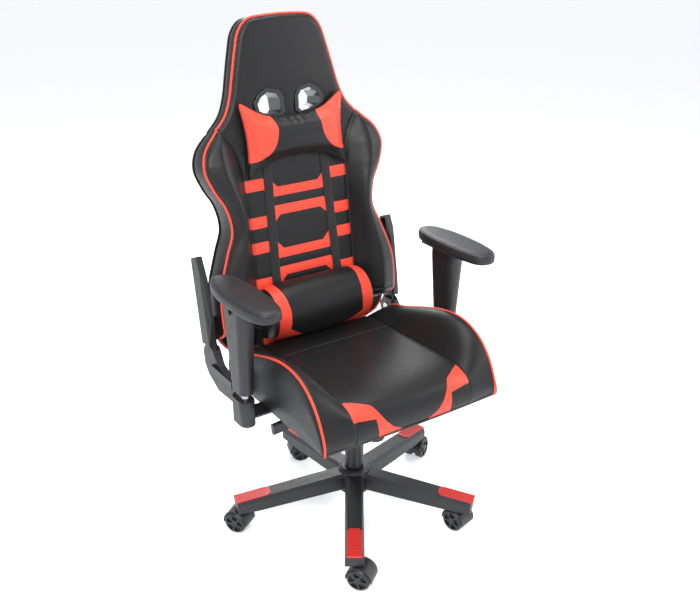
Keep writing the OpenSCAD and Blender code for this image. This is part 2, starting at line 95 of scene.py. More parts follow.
def segment_distance(points, line, closed=True):
    """Distance from each 2-D point to a polyline."""
    a = np.array(line, float)
    b = np.roll(a, -1, axis=0)
    if not closed:
        a, b = a[:-1], b[:-1]
    best = np.full(len(points), 1e9)
    for p, q in zip(a, b):
        d = q - p
        t = np.clip(((points - p) @ d) / max(d @ d, 1e-12), 0, 1)
        best = np.minimum(best, np.hypot(*(points - p - t[:, None] * d).T))
    return best


def inside(points, polygon):
    """True where each 2-D point lies inside a polygon."""
    a = np.array(polygon, float)
    b = np.roll(a, -1, axis=0)
    x, y = points.T
    crossed = np.zeros(len(points), bool)
    for (ax, ay), (bx, by) in zip(a, b):
        if ay != by:
            hit = ((ay > y) != (by > y)) & (x < (bx - ax) * (y - ay) / (by - ay) + ax)
            crossed ^= hit
    return crossed


def signed(points, polygon):
    """Distance to a polygon's edge, above zero inside it."""
    return np.where(inside(points, polygon), 1, -1) * segment_distance(points, polygon)


def smooth(low, high, value):
    """Rises smoothly from 0 at low to 1 at high."""
    t = np.clip((value - low) / (high - low), 0, 1)
    return t * t * (3 - 2 * t)


def mirrored(half):
    """A closed outline from its half with x above zero."""
    half = np.array(half, float)
    return np.vstack([half, (half * [-1, 1])[::-1]])


def resampled(line, spacing, closed=True):
    """Points along a polyline at an even spacing."""
    line = np.array(line, float)
    if closed:
        line = np.vstack([line, line[:1]])
    along = np.concatenate([[0], np.cumsum(np.linalg.norm(np.diff(line, axis=0), axis=1))])
    count = max(int(round(along[-1] / spacing)), 3)
    at = np.linspace(0, along[-1], count + 1)[: count if closed else count + 1]
    return np.column_stack([np.interp(at, along, c) for c in line.T])


# ---------------------------------------------------------------- meshes
def new_mesh(name, points, faces, body, material, values=None):
    """A piece from points in metres, riding on a body, with named numbers on its points."""
    mesh = bpy.data.meshes.new(name)
    mesh.from_pydata(np.asarray(points, float).tolist(), [], [list(map(int, f)) for f in faces])
    mesh.update()
    for key, numbers in (values or {}).items():
        mesh.attributes.new(key, "FLOAT", "POINT").data.foreach_set("value", np.asarray(numbers, float))
    mesh.polygons.foreach_set("use_smooth", [True] * len(mesh.polygons))
    piece = bpy.data.objects.new(name, mesh)
    bpy.context.scene.collection.objects.link(piece)
    mesh.materials.append(material)
    if body:
        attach(piece, body)
    return piece


def flipped(faces):
    """The same faces, seen from their other side."""
    return [tuple(reversed(f)) for f in faces]


def grid_faces(rows, columns, wrap=False):
    """Faces of a grid of points, row by row, with the columns joined round if wrap."""
    span = columns if wrap else columns - 1
    return [(r * columns + c, r * columns + (c + 1) % columns,
             (r + 1) * columns + (c + 1) % columns, (r + 1) * columns + c)
            for r in range(rows - 1) for c in range(span)]


def filled(outline, holes, spacing):
    """2-D points and triangles filling an outline with holes; the outline's points come first."""
    loops = [np.asarray(outline)] + [np.asarray(h) for h in holes]
    low, high = loops[0].min(axis=0), loops[0].max(axis=0)
    row_pitch = spacing * 0.87
    clear = spacing * 0.6
    rows = []
    for i, y in enumerate(np.arange(low[1], high[1], row_pitch)):
        across = np.arange(low[0] + (i % 2) * spacing / 2, high[0], spacing)
        rows.append(np.column_stack([across, np.full(len(across), y)]))
    inner = np.vstack(rows)
    keep = inside(inner, loops[0]) & (segment_distance(inner, loops[0]) > clear)
    for hole in loops[1:]:
        keep &= ~inside(inner, hole) & (segment_distance(inner, hole) > clear)
    inner = inner[keep]
    points, edges, start = [], [], 0
    for loop in loops:
        points.append(loop)
        edges += [(start + i, start + (i + 1) % len(loop)) for i in range(len(loop))]
        start += len(loop)
    points = np.vstack(points + [inner])
    made = geometry.delaunay_2d_cdt([Vector(p) for p in points.tolist()], edges, [], 0, 1e-6)
    out = np.array([tuple(p) for p in made[0]])
    faces = np.array(made[2])
    middle = out[faces].mean(axis=1)
    keep = inside(middle, loops[0])
    for hole in loops[1:]:
        keep &= ~inside(middle, hole)
    return out, faces[keep], [len(loop) for loop in loops]


def tube(name, path, radius, body, material, closed=False, sides=10):
    """A round cord of piping along a path of points in metres."""
    path = np.asarray(path, float)
    if closed:
        tangent = np.roll(path, -1, axis=0) - np.roll(path, 1, axis=0)
    else:
        tangent = np.gradient(path, axis=0)
    tangent /= np.linalg.norm(tangent, axis=1)[:, None]
    side = np.cross(tangent[0], [0.3, 0.5, 0.8])
    rings = []
    for point, ahead in zip(path, tangent):
        side = side - ahead * (side @ ahead)
        side /= np.linalg.norm(side)
        other = np.cross(ahead, side)
        angle = np.arange(sides) * 2 * math.pi / sides
        rings.append(point + radius * (np.cos(angle)[:, None] * side + np.sin(angle)[:, None] * other))
    points = np.vstack(rings)
    count = len(path)
    faces = grid_faces(count, sides, wrap=True)
    if closed:
        last = (count - 1) * sides
        shift = int(np.argmin(np.linalg.norm(points[last:last + sides] - points[0], axis=1)))
        faces += [(last + (c + shift) % sides, last + (c + shift + 1) % sides, (c + 1) % sides, c)
                  for c in range(sides)]
    else:
        faces += [tuple(range(sides))[::-1], tuple(range((count - 1) * sides, count * sides))]
    return new_mesh(name, points, flipped(faces), body, material)


def stitches(name, path, facing, body, material, centre=None):
    """A row of stitches along a path in metres, on a surface that faces one way or away from a centre."""
    length, gap, radius = 4.0, 2.2, 0.5
    path = resampled(path, (length + gap) * MM, closed=False)
    points, faces = [], []
    sides, rings = 6, 5
    for a, b in zip(path[:-1], path[1:]):
        ahead = (b - a) / np.linalg.norm(b - a)
        up = np.array(facing, float) if centre is None else a - centre
        up = up - ahead * (up @ ahead)
        up /= np.linalg.norm(up)
        across = np.cross(ahead, up)
        start = len(points)
        for k in range(rings):
            t = k / (rings - 1)
            swell = math.sin(math.pi * (0.12 + 0.76 * t))
            middle = a + ahead * length * MM * t + up * MM * (0.6 * swell - 0.1)
            for j in range(sides):
                angle = 2 * math.pi * j / sides
                points.append(middle + MM * radius * swell * (math.cos(angle) * across
                                                              + math.sin(angle) * up))
        faces += [tuple(start + i for i in f) for f in grid_faces(rings, sides, wrap=True)]
        faces.append(tuple(start + i for i in range(sides))[::-1])
        faces.append(tuple(start + (rings - 1) * sides + i for i in range(sides)))
    return new_mesh(name, np.array(points), faces, body, material)


# ---------------------------------------------------------------- materials
def nodes_of(name):
    """A new material, its node tree and its Principled shader."""
    material = bpy.data.materials.new(name)
    material.use_nodes = True
    tree = material.node_tree
    return material, tree, tree.nodes["Principled BSDF"]


def add(tree, kind, **settings):
    node = tree.nodes.new(kind)
    for key, value in settings.items():
        setattr(node, key, value)
    return node


def noise(tree, scale, detail=3.0, roughness=0.55):
    place = add(tree, "ShaderNodeTexCoord")
    node = add(tree, "ShaderNodeTexNoise")
    node.inputs["Scale"].default_value = scale
    node.inputs["Detail"].default_value = detail
    node.inputs["Roughness"].default_value = roughness
    tree.links.new(place.outputs["Object"], node.inputs["Vector"])
    return node.outputs["Fac"]


def cells(tree, scale):
    place = add(tree, "ShaderNodeTexCoord")
    node = add(tree, "ShaderNodeTexVoronoi", feature="DISTANCE_TO_EDGE")
    node.inputs["Scale"].default_value = scale
    tree.links.new(place.outputs["Object"], node.inputs["Vector"])
    return node.outputs["Distance"]


def attribute(tree, name):
    return add(tree, "ShaderNodeAttribute", attribute_name=name).outputs["Fac"]


def mapped(tree, value, low, high, to_low, to_high):
    node = add(tree, "ShaderNodeMapRange")
    for key, number in zip(("From Min", "From Max", "To Min", "To Max"), (low, high, to_low, to_high)):
        node.inputs[key].default_value = number
    tree.links.new(value, node.inputs["Value"])
    return node.outputs["Result"]


def combined(tree, a, b, operation="ADD"):
    node = add(tree, "ShaderNodeMath", operation=operation)
    for socket, value in zip(node.inputs, (a, b)):
        if isinstance(value, (int, float)):
            socket.default_value = value
        else:
            tree.links.new(value, socket)
    return node.outputs["Value"]


def mixed(tree, factor, a, b):
    node = add(tree, "ShaderNodeMix", data_type="RGBA")
    tree.links.new(factor, node.inputs["Factor"])
    for socket, value in ((node.inputs["A"], a), (node.inputs["B"], b)):
        if isinstance(value, tuple):
            socket.default_value = (*value, 1)
        else:
            tree.links.new(value, socket)
    return node.outputs["Result"]


def bumped(tree, shader, height, strength, distance):
    node = add(tree, "ShaderNodeBump")
    node.inputs["Strength"].default_value = strength
    node.inputs["Distance"].default_value = distance
    tree.links.new(height, node.inputs["Height"])
    tree.links.new(node.outputs["Normal"], shader.inputs["Normal"])


def scaled(colour, k):
    return tuple(min(c * k, 1.0) for c in colour)


def leather(name, colour, second=None):
    """Smooth artificial leather. Where second is given, points with "red" above zero take it."""
    material, tree, shader = nodes_of(name)
    patch = noise(tree, 9.0, 4.0)
    shade = mixed(tree, patch, scaled(colour, 0.8), scaled(colour, 1.3))
    fine = mapped(tree, cells(tree, 950.0), 0.0, 0.28, 0.0, 1.0)
    pores = noise(tree, 1600.0, 2.0)
    grain = combined(tree, fine, combined(tree, pores, 0.5, "MULTIPLY"))
    height = combined(tree, grain, 0.10, "MULTIPLY")
    height = combined(tree, height, combined(tree, noise(tree, 26.0, 3.0), 0.35, "MULTIPLY"))
    if second:
        red = attribute(tree, "red")
        edge = mapped(tree, red, -0.25, 0.25, 0.0, 1.0)
        other = mixed(tree, patch, scaled(second, 0.9), scaled(second, 1.1))
        shade = mixed(tree, edge, shade, other)
        # painted shade: within 1.5 mm of a seam the colour is darkened to half the main colour, standing in for
        # shade in the seam groove; the same mask also presses the groove in as bump
        seam = mapped(tree, attribute(tree, "seam"), 0.0, 1.5, 0.0, 1.0)
        shade = mixed(tree, seam, scaled(colour, 0.5), shade)
        height = combined(tree, height, combined(tree, seam, 1.6, "MULTIPLY"))
    tree.links.new(shade, shader.inputs["Base Color"])
    gloss = combined(tree, mapped(tree, noise(tree, 55.0, 4.0), 0.3, 0.7, 0.37, 0.46),
                     mapped(tree, fine, 0.0, 1.0, 0.05, 0.0))
    tree.links.new(gloss, shader.inputs["Roughness"])
    shader.inputs["Specular IOR Level"].default_value = 0.36
    shader.inputs["Sheen Weight"].default_value = 0.02
    shader.inputs["Sheen Roughness"].default_value = 0.5
    bumped(tree, shader, height, 0.5, 0.0006)
    return material


def plastic(name, colour, rough, grain_scale=1400.0, grain=0.35, coat=0.0):
    """Moulded plastic with a fine texture and slightly uneven gloss."""
    material, tree, shader = nodes_of(name)
    shade = mixed(tree, noise(tree, 14.0, 5.0), scaled(colour, 0.85), scaled(colour, 1.2))
    tree.links.new(shade, shader.inputs["Base Color"])
    rub = mapped(tree, noise(tree, 70.0, 5.0), 0.3, 0.75, rough - 0.05, rough + 0.07)
    tree.links.new(rub, shader.inputs["Roughness"])
    shader.inputs["Coat Weight"].default_value = coat
    shader.inputs["Coat Roughness"].default_value = 0.25
    bumped(tree, shader, noise(tree, grain_scale, 2.0), grain, 0.0002)
    return material


def metal(name, colour, rough, grain_scale=160.0):
    """Bare or plated metal with a slightly uneven polish."""
    material, tree, shader = nodes_of(name)
    shader.inputs["Metallic"].default_value = 1.0
    shade = mixed(tree, noise(tree, 30.0, 5.0), scaled(colour, 0.85), colour)
    tree.links.new(shade, shader.inputs["Base Color"])
    fine = noise(tree, grain_scale, 4.0)
    tree.links.new(mapped(tree, fine, 0.3, 0.7, rough - 0.04, rough + 0.08), shader.inputs["Roughness"])
    bumped(tree, shader, fine, 0.12, 0.0001)
    return material


def paint(name, colour, rough):
    """Powder-coated steel with a fine orange-peel skin."""
    material, tree, shader = nodes_of(name)
    shade = mixed(tree, noise(tree, 20.0, 4.0), scaled(colour, 0.85), scaled(colour, 1.25))
    tree.links.new(shade, shader.inputs["Base Color"])
    peel = noise(tree, 420.0, 3.0)
    tree.links.new(mapped(tree, peel, 0.3, 0.7, rough - 0.04, rough + 0.06), shader.inputs["Roughness"])
    bumped(tree, shader, peel, 0.3, 0.0003)
    return material


def woven(name, colour, scale=620.0):
    """Flat webbing or lining cloth with a twill weave."""
    material, tree, shader = nodes_of(name)
    place = add(tree, "ShaderNodeTexCoord")
    waves = []
    for turn in (math.radians(40), math.radians(-50)):
        spin = add(tree, "ShaderNodeMapping")
        spin.inputs["Rotation"].default_value = (turn, turn, turn)
        wave = add(tree, "ShaderNodeTexWave")
        wave.inputs["Scale"].default_value = scale
        wave.inputs["Distortion"].default_value = 0.4
        tree.links.new(place.outputs["Object"], spin.inputs["Vector"])
        tree.links.new(spin.outputs["Vector"], wave.inputs["Vector"])
        waves.append(wave.outputs["Fac"])
    weave = combined(tree, waves[0], waves[1], "MULTIPLY")
    shade = mixed(tree, weave, scaled(colour, 0.6), scaled(colour, 1.8))
    tree.links.new(shade, shader.inputs["Base Color"])
    shader.inputs["Roughness"].default_value = 0.85
    shader.inputs["Sheen Weight"].default_value = 0.2
    bumped(tree, shader, weave, 0.7, 0.0004)
    return material


TWO_TONE = leather("leather_black_and_coral", BLACK, CORAL)
SKIN = leather("leather_black", BLACK)
CORAL_PIPING = leather("leather_coral_piping", scaled(CORAL, 1.05))
DARK_WELT = leather("leather_grey_welt", (0.03, 0.03, 0.033))
NYLON = plastic("nylon_black", (0.014, 0.014, 0.016), 0.45)
PAD_FOAM = plastic("arm_pad_black", (0.0125, 0.0125, 0.014), 0.5, 1000.0, 0.5)
BEZEL = plastic("bezel_black", (0.006, 0.006, 0.007), 0.22, 300.0, 0.05, 0.5)
RED_CAP = plastic("cap_red", (0.62, 0.022, 0.016), 0.38, 900.0, 0.3)
STEEL = paint("steel_black", (0.011, 0.011, 0.012), 0.38)
CHROME = metal("bright_steel", (0.42, 0.43, 0.45), 0.2)
ZINC = metal("zinc_plate", (0.56, 0.56, 0.53), 0.34, grain_scale=900.0)
WEBBING = woven("webbing_black", (0.008, 0.008, 0.009))
LINING = woven("lining_black", (0.012, 0.012, 0.013), 380.0)
THREAD = leather("thread_grey", (0.09, 0.09, 0.095))

# ---------------------------------------------------------------- backrest
PANEL_X = 152
TOP_S = 832
REAR_N = 25
COVER_N = 8
BACK_SPACING = 3.6
HALF_OUTLINE = np.vstack([
    [[200, -10]],
    spline([[236, 2], [258, 34], [267, 100], [262, 180], [234, 262], [212, 320], [220, 380],
            [246, 430], [262, 480], [250, 524], [214, 562], [178, 600], [158, 645], [144, 700],
            [130, 755], [116, 798], [88, 826], [40, TOP_S]], 8),
    [[0, TOP_S + 1]],
])
OUTLINE = resampled(mirrored(HALF_OUTLINE), 3.5)
HOLE = np.array([[22, 598], [32, 588], [78, 594], [92, 602], [96, 622], [84, 640], [62, 652], [34, 646],
                 [24, 632]], float)
HOLES = [resampled(HOLE, 3.5), resampled(HOLE * [-1, 1], 3.5)]
WING_SEAM = spline([[152, -10], [152, 200], [152, 400], [155, 460], [163, 505], [178, 540], [204, 572]], 6)
MOTIF_PITCH = 162
BAND_TOP = 422
BAND_DROP = 96
BAR_HALF, MIDDLE_HALF = 15, 12.5
BAR_END_X, MIDDLE_END_X, BAND_SLANT = 86, 61, 18
REAR_SEAMS = [[[128, -10], [128, 330], [150, 430], [205, 520], [216, 560]], [[0, 560], [216, 560]]]


def half_width(s):
    """The outline's distance from the middle at a height."""
    return np.interp(s, HALF_OUTLINE[:-1, 1], HALF_OUTLINE[:-1, 0])


def band(bar_s, step):
    """A red band: bars at the sides, stepping up or down to its middle stretch."""
    upper, lower = (BAND_SLANT, 0) if step > 0 else (0, BAND_SLANT)
    high = [[PANEL_X, bar_s + BAR_HALF], [BAR_END_X + upper, bar_s + BAR_HALF],
            [MIDDLE_END_X + upper, bar_s + step + MIDDLE_HALF]]
    low = [[MIDDLE_END_X + lower, bar_s + step - MIDDLE_HALF], [BAR_END_X + lower, bar_s - BAR_HALF],
           [PANEL_X, bar_s - BAR_HALF]]
    other_high = [[-x, s] for x, s in reversed(high)]
    other_low = [[-x, s] for x, s in reversed(low)]
    return np.array(high + other_high + other_low + low, float)


BANDS = [shape for k in range(3) for shape in (
    band(BAND_TOP - MOTIF_PITCH * k, -25),
    band(BAND_TOP - BAND_DROP - MOTIF_PITCH * k, 23))]


def wing_height(x, s):
    """How far the wings stand out in front of the centre panel."""
    seam = np.interp(s, WING_SEAM[:, 1], WING_SEAM[:, 0])
    width = np.maximum(half_width(s) - seam, 12)
    t = np.clip((np.abs(x) - seam) / width, 0, 1)
    shape = smooth(-0.05, 0.6, t) ** 0.8 * (1 - 0.3 * smooth(0.55, 1.0, t))
    heights = [42, 62, 90, 150, 360, 440, 490, 530, 560, 590]
    reach = np.interp(s, heights, [22, 38, 46, 50, 50, 46, 38, 24, 9, 0])
    return reach * shape


def front_height(x, s):
    """The front face's distance in front of the rear cover's plane."""
    p = np.column_stack([x, s])
    edge = segment_distance(p, OUTLINE)
    wing = wing_height(x, s)
    foam = 41.5
    head = smooth(560, 690, s)
    height = foam + wing + 5 * head * (1 - (x / 150) ** 2)
    # the rim rolls over, and the seams and the edges of the slots and bands are pressed in
    roll = 15.0
    near = np.clip((roll - edge) / roll, 0, 1)
    height -= 13 * (1 - np.sqrt(1 - near ** 2 + 1e-9))
    seam = np.minimum(segment_distance(p, WING_SEAM, False),
                      segment_distance(p, WING_SEAM * [-1, 1], False))
    height -= 4.0 * np.exp(-(seam / 5) ** 2) * smooth(-12, 10, s)
    for hole in HOLES:
        height -= 2.5 * np.exp(-(segment_distance(p, hole) / 9) ** 2)
    panel = (np.abs(x) < PANEL_X - 2) & (s < 500)
    patch = np.full(len(x), 1e3)
    for shape in BANDS:
        patch = np.minimum(patch, np.abs(signed(p, shape)))
    height += np.where(panel, 1.6 * (1 - np.exp(-patch / 5)), 0)
    # the wings end in a rounded foot, above the hinge covers
    wing_full, wing_foot = 80, 42
    low = (np.abs(x) > PANEL_X + 2) & (s < wing_full)
    lift = np.sqrt(np.clip(1 - ((wing_full - s) / (wing_full - wing_foot)) ** 2, 0, 1))
    height = np.where(low, height * np.where(s < wing_foot, 0, lift) + 3, height)
    return height


def front_values(x, s):
    """Signed distance to the coral bands, and distance to the nearest seam."""
    p = np.column_stack([x, s])
    red = np.full(len(x), NOT_RED)
    for shape in BANDS:
        red = np.maximum(red, signed(p, shape))
    seam = np.minimum(np.abs(red), segment_distance(p, WING_SEAM, False))
    seam = np.minimum(seam, segment_distance(p, WING_SEAM * [-1, 1], False))
    return red, seam


def make_back_front():
    """The front face and side band in one piece, with piping round the front edge."""
    flat, faces, loops = filled(OUTLINE, HOLES, BACK_SPACING)
    x, s = flat.T
    n = COVER_N - front_height(x, s)
    red, seam = front_values(x, s)
    front = on_back(x, n, s)
    count = loops[0]
    rim_x, rim_n, rim_s = x[:count], n[:count], s[:count]
    outward = np.column_stack([np.roll(rim_s, -1) - np.roll(rim_s, 1),
                               np.roll(rim_x, 1) - np.roll(rim_x, -1)])
    outward /= np.linalg.norm(outward, axis=1)[:, None]
    side_end = REAR_N - 4
    steps = 12
    rings = []
    for k in range(1, steps + 1):
        t = k / steps
        bulge = 2.5 * math.sin(math.pi * t) - 3.0 * t ** 6
        rings.append(on_back(rim_x + outward[:, 0] * bulge, rim_n + (side_end - rim_n) * t,
                             rim_s + outward[:, 1] * bulge))
    beyond = len(front) - count
    side_faces = [tuple(i if i < count else i + beyond for i in f)
                  for f in grid_faces(steps + 1, count, wrap=True)]
    plain = np.full(steps * count, NOT_RED)
    body = new_mesh("back_upholstery", np.vstack([front] + rings),
                    flipped(faces.tolist()) + flipped(side_faces), "backrest", TWO_TONE,
                    {"red": np.concatenate([red, plain]), "seam": np.concatenate([seam, -plain])})
    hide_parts("back_cushion", "back_bolster_left", "back_bolster_right")
    path = on_back(rim_x + 1.4 * outward[:, 0], rim_n - 1.0, rim_s + 1.4 * outward[:, 1])
    tube("back_piping", path, 3.1 * MM, "backrest", CORAL_PIPING, closed=True)


def make_back_rear():
    """The rear panel, padded between its seams, with a welt round it."""
    flat, faces, loops = filled(OUTLINE, HOLES, BACK_SPACING)
    x, s = flat.T
    count = loops[0]
    edge = segment_distance(flat, OUTLINE)
    near = np.clip((10 - edge) / 10, 0, 1)
    rear_n = REAR_N + 1.5 - 5 * (1 - np.sqrt(1 - near ** 2 + 1e-9))
    rear_n += 5.0 * smooth(0, 90, edge) * (1 - smooth(560, 640, s))
    for line in REAR_SEAMS:
        gap = np.minimum(segment_distance(flat, line, False),
                         segment_distance(flat, np.array(line) * [-1, 1], False))
        rear_n -= 2.6 * np.exp(-(gap / 3.6) ** 2)
    for hole in HOLES:
        rear_n -= 2 * np.exp(-(segment_distance(flat, hole) / 8) ** 2)
    panel = new_mesh("back_rear_panel", on_back(x, rear_n, s), faces.tolist(), "backrest",
                     SKIN)
    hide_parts("back_rear_cover")
    tube("back_rear_welt", on_back(x[:count], rear_n[:count] - 0.4, s[:count]), 2.0 * MM, "backrest",
         SKIN, closed=True)


make_back_front()
make_back_rear()

# ---------------------------------------------------------------- seat
SEAT_BOTTOM = 397
SEAT_PANEL = 172
SEAT_RIDGE_X = 252
SEAT_LINE_Y = 78
CENTRE = [[188, SEAT_BOTTOM], [193, 430], [192, 460], [172, 473], [110, 476], [40, 478], [-40, 481],
          [-110, 484], [-170, 485], [-214, 480], [-244, 464], [-258, 438], [-262, 414], [-258, SEAT_BOTTOM]]
RIDGE = [[188, SEAT_BOTTOM], [193, 440], [192, 474], [170, 488], [112, 503], [36, 530], [-42, 552],
         [-98, 558], [-146, 551], [-190, 529], [-224, 494], [-245, 456], [-256, 424], [-255, SEAT_BOTTOM]]
ACCENT = np.array([[176, 126], [114, 86], [100, 60], [86, 38], [68, 20], [38, 5], [38, 0], [106, -3],
                   [112, 50], [176, 62]], float)


def seat_point(kind, sign, v, low, high, front, crowned):
    """A point between the seat's centre line, low, and its ridge, high; its red value; its seam value."""
    if kind == "flat":
        crown = 3.0 * (1 - (v / SEAT_PANEL) ** 4) * smooth(0, 40, front) * crowned
        x, y, z = v, low[0], low[1] + crown - 2.5 * math.exp(-((SEAT_PANEL - abs(v)) / 6) ** 2)
        line = abs(y - SEAT_LINE_Y) if low[1] > 470 else 50
        z -= 1.6 * math.exp(-(line / 4) ** 2)
        red = float(signed(np.array([[abs(v), front]]), ACCENT)[0])
        return (x, y, z), red, min(abs(red), SEAT_PANEL - abs(v), line)
    if kind == "slope":
        x = sign * (SEAT_PANEL + (SEAT_RIDGE_X - SEAT_PANEL) * v)
        y, z = low + (high - low) * math.sin(v * math.pi / 2) ** 1.15
        if v < 0.02:
            z -= 2.5
        return (x, y, z), NOT_RED, 80 * v
    x = sign * (253 + 9 * math.sin(min(v * 4, 1) * math.pi / 2) - 5 * max(v - 0.75, 0) * 4)
    bottom = np.array([high[0], SEAT_BOTTOM])
    top = high - [0, 3]
    y, z = top + (bottom - top) * v if high[1] > SEAT_BOTTOM + 3 else high
    return (x, y, z), NOT_RED, 30.0


def make_seat():
    """The seat's cover, swept from front to rear, with its piping, welt and cross stitches."""
    steps = 12
    centre = spline(CENTRE, steps)
    ridge = spline(RIDGE, steps)
    rows = len(centre)
    spans = np.linalg.norm(np.diff(centre[::-1], axis=0), axis=1)
    from_front = np.concatenate([[0], np.cumsum(spans)])[::-1]
    inner = np.arange(-SEAT_PANEL, SEAT_PANEL + 0.1, 4.0)
    slope = np.array([0, 0.02, 0.05, 0.09, 0.14, 0.2, 0.27, 0.35, 0.43, 0.51, 0.59, 0.67, 0.74, 0.81, 0.87,
                      0.92, 0.96, 1.0])
    drop = np.linspace(0, 1, 16)
    columns = [("side", -1, d) for d in drop[::-1]]
    columns += [("slope", -1, w) for w in slope[::-1][1:]]
    columns += [("flat", 0, x) for x in inner]
    columns += [("slope", 1, w) for w in slope[1:]]
    columns += [("side", 1, d) for d in drop]
    made = [seat_point(kind, sign, v, centre[r], ridge[r], from_front[r], r > steps)
            for r in range(rows) for kind, sign, v in columns]
    grid, red, seam = zip(*made)
    points = np.array(grid) * MM
    count = len(columns)
    seat = new_mesh("seat_upholstery", points, flipped(grid_faces(rows, count)), "seat", TWO_TONE,
                    {"red": red, "seam": seam})
    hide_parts("seat_cushion", "seat_bolster_left", "seat_bolster_right")
    for sign, side in ((1, "left"), (-1, "right")):
        path = np.array([(sign * 254.5, g[0], g[1] - 1.0) for g in ridge[2 * steps:]]) * MM
        tube(f"seat_piping_{side}", path, 3.1 * MM, "seat", CORAL_PIPING)
    welt = np.array([(x, -259.5 + 5 * (x / 250) ** 2, SEAT_BOTTOM + 1) for x in np.linspace(-250, 250, 90)])
    tube("seat_front_welt", welt * MM, 2.6 * MM, "seat", DARK_WELT)
    line = np.array([(x, SEAT_LINE_Y + 4, 478.3 + 3.0 * (1 - (x / SEAT_PANEL) ** 4))
                     for x in np.linspace(-165, 165, 60)])
    stitches("seat_cross_stitch", line * MM, (0, 0, 1), "seat", THREAD)


make_seat()


# ---------------------------------------------------------------- pillows
def inflate(piece, pressure, frames, bending=0.6):
    """Blows a sewn cover up with the cloth simulation and keeps the result as its mesh."""
    cloth = piece.modifiers.new("cloth", "CLOTH")
    cloth.settings.quality = 6
    cloth.settings.mass = 0.3
    cloth.settings.tension_stiffness = 30
    cloth.settings.compression_stiffness = 30
    cloth.settings.shear_stiffness = 15
    cloth.settings.bending_stiffness = bending
    cloth.settings.air_damping = 4
    cloth.settings.use_pressure = True
    cloth.settings.uniform_pressure_force = pressure
    cloth.settings.effector_weights.gravity = 0
    cloth.collision_settings.use_collision = False
    cloth.point_cache.frame_start, cloth.point_cache.frame_end = 1, frames
    scene = bpy.context.scene
    for f in range(1, frames + 1):
        scene.frame_set(f)
    evaluated = piece.evaluated_get(bpy.context.evaluated_depsgraph_get())
    co = np.zeros(len(evaluated.data.vertices) * 3)
    evaluated.data.vertices.foreach_get("co", co)
    piece.modifiers.remove(cloth)
    piece.data.vertices.foreach_set("co", co)
    piece.data.update()
    scene.frame_set(1)
    return co.reshape(-1, 3)


def sewn_cover(outline, spacing):
    """Two flat sheets that share their edge: 2-D points, which sheet each is on, and faces."""
    flat, faces, loops = filled(outline, [], spacing)
    rim = loops[0]
    inner = len(flat) - rim
    points = np.vstack([flat, flat[rim:]])
    sheet = np.concatenate([np.zeros(rim), np.full(inner, -1), np.full(inner, 1)])
    other = faces.copy()
    other[faces >= rim] += inner
    return points, sheet, faces.tolist() + flipped(other.tolist()), rim


def put_on_back(piece, local):
    """Writes (x, n, s) millimetres into a piece as world points."""
    world = on_back(local[:, 0], local[:, 1], local[:, 2])
    piece.data.vertices.foreach_set("co", world.astype(np.float32).ravel())
    piece.data.update()


def fitted(values, low, high):
    """Stretches values so that they run from low to high."""
    return low + (values - values.min()) * (high - low) / (values.max() - values.min())


HEAD_LOW, HEAD_HIGH = 442, 630
HEAD_HALF = 150
HEAD_REAR = -39.0


def make_head_pillow():
    """The head pillow: a sewn cover blown up, then laid against the back, with coral corners."""
    half = np.vstack([
        spline([[0, 62], [50, 64], [98, 74], [142, 98], [160, 108]], 6),
        spline([[160, 108], [165, 99], [158, 50], [154, 0], [156, -50], [163, -92], [160, -102]], 6)[1:],
        spline([[160, -102], [144, -94], [100, -72], [50, -62], [0, -60]], 6)[1:],
    ])
    outline = resampled(np.vstack([half, (half * [-1, 1])[::-1][1:-1]]), 4.0)
    flat, sheet, faces, rim = sewn_cover(outline, 4.0)
    start = np.column_stack([flat[:, 0], sheet * 4.0, flat[:, 1]]) * MM
    corner_edge = spline([[74, 76], [69, 44], [71, 12], [82, -18], [104, -42], [134, -54], [175, -62]], 5)
    corner = np.vstack([[[175, 130], [74, 130]], corner_edge])
    red = signed(np.column_stack([np.abs(flat[:, 0]), flat[:, 1]]), corner)
    seam = np.abs(red)
    # the rim counts as a seam, so it gets the painted seam shade as well as the pressed-in groove
    seam[:rim] = 0
    piece = new_mesh("head_pillow_cushion", start, faces, None, TWO_TONE,
                     {"red": red, "seam": seam})
    local = inflate(piece, 3.0, 24, bending=12.0) / MM
    local[:, 0] = fitted(local[:, 0], -HEAD_HALF, HEAD_HALF)
    local[:, 2] = fitted(local[:, 2], HEAD_LOW, HEAD_HIGH)
    depth = fitted(local[:, 1], -44, 30)
    flatten_from = -6
    rear = depth > flatten_from
    depth = np.where(rear, flatten_from + (depth - flatten_from) * 0.16, depth)
    from_top = 62 + 0.3 * np.abs(flat[:, 0]) - flat[:, 1]
    gather = np.sin(flat[:, 0] / 4.6 + 1.3 * np.sin(flat[:, 0] / 17)) * np.exp(-(from_top / 26) ** 2)
    depth = depth + 1.5 * gather * smooth(0, 8, from_top) * (1 - smooth(55, 80, np.abs(flat[:, 0])))
    local[:, 1] = HEAD_REAR - depth.max() + depth
    put_on_back(piece, local)
    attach(piece, "head_rest")
    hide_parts("head_pillow")
    tube("head_pillow_welt", on_back(local[:rim, 0], local[:rim, 1], local[:rim, 2]), 1.3 * MM, "head_rest",
         SKIN, closed=True, sides=8)


make_head_pillow()

LUMBAR_HALF = 148
LUMBAR_CORAL_END = 145
LUMBAR_MIDDLE = np.array([-75.0, 90.0])


